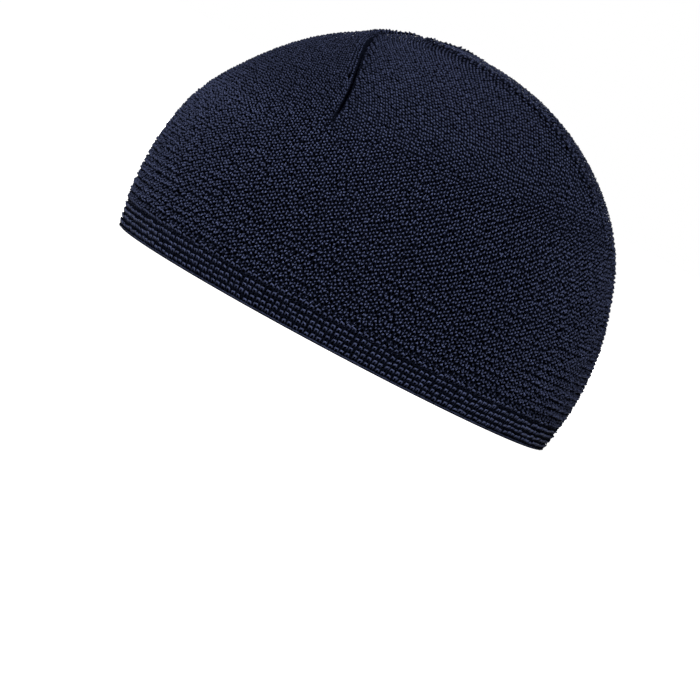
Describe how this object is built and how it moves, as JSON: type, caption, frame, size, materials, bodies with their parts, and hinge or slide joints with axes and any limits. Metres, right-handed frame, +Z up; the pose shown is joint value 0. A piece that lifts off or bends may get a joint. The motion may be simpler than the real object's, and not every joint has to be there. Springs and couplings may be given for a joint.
{
  "type": "knitted kufi",
  "caption": "Close-fitting brimless skull cap of ridged knit, a hollow oval dome shaped by sewn darts in its crown.",
  "frame": {"origin": "centre of the rim, in the flat plane that the rim rests on", "axes": "+X towards the back of the wearer's head, +Y towards the wearer's right side, +Z up through the crown"},
  "size_m": [0.208, 0.168, 0.1334],
  "materials": {
    "navy_knit": "knitted filament yarn, faint sheen"
  },
  "bodies": {
    "root": {"knitted_cap": "navy_knit"}
  },
  "joints": []
}
